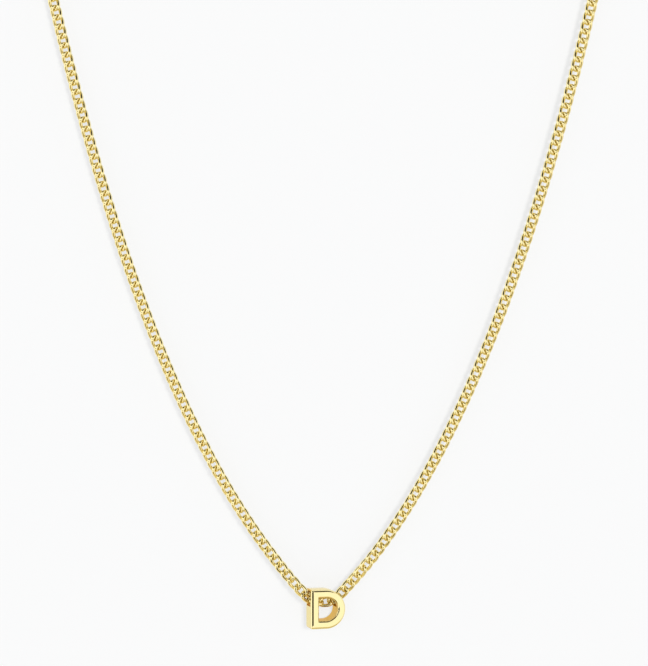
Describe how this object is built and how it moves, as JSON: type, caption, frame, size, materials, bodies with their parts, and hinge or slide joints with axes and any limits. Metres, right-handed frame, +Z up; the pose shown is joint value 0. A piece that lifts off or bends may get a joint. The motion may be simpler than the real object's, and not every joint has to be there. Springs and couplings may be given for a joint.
{
  "type": "initial pendant necklace",
  "caption": "Small gold letter D bead threaded on a fine twisted curb chain, a whole closed necklace loop hanging from its top, with a plain ring clasp.",
  "frame": {"origin": "top of the loop, at the middle of the back of the neck, where the necklace hangs", "axes": "+Z up, X across the front with +X to the viewer's right, +Y to the back; the letter's front faces -Y, turned 15 degrees"},
  "size_m": [0.0976, 0.0051, 0.1705],
  "materials": {
    "letter_gold": "polished",
    "chain_gold": "polished"
  },
  "bodies": {
    "necklace": {"chain_left": "chain_gold", "chain_right": "chain_gold", "ring_left": "chain_gold", "ring_right": "chain_gold", "clasp": "chain_gold"},
    "letter": {"letter": "letter_gold"}
  },
  "joints": [
    {"name": "letter_swing", "type": "hinge", "parent": "necklace", "child": "letter", "pos_m": [0, 0, -0.16243], "axis": [0.9659, 0.2588, 0], "range_deg": [-15, 15]}
  ]
}
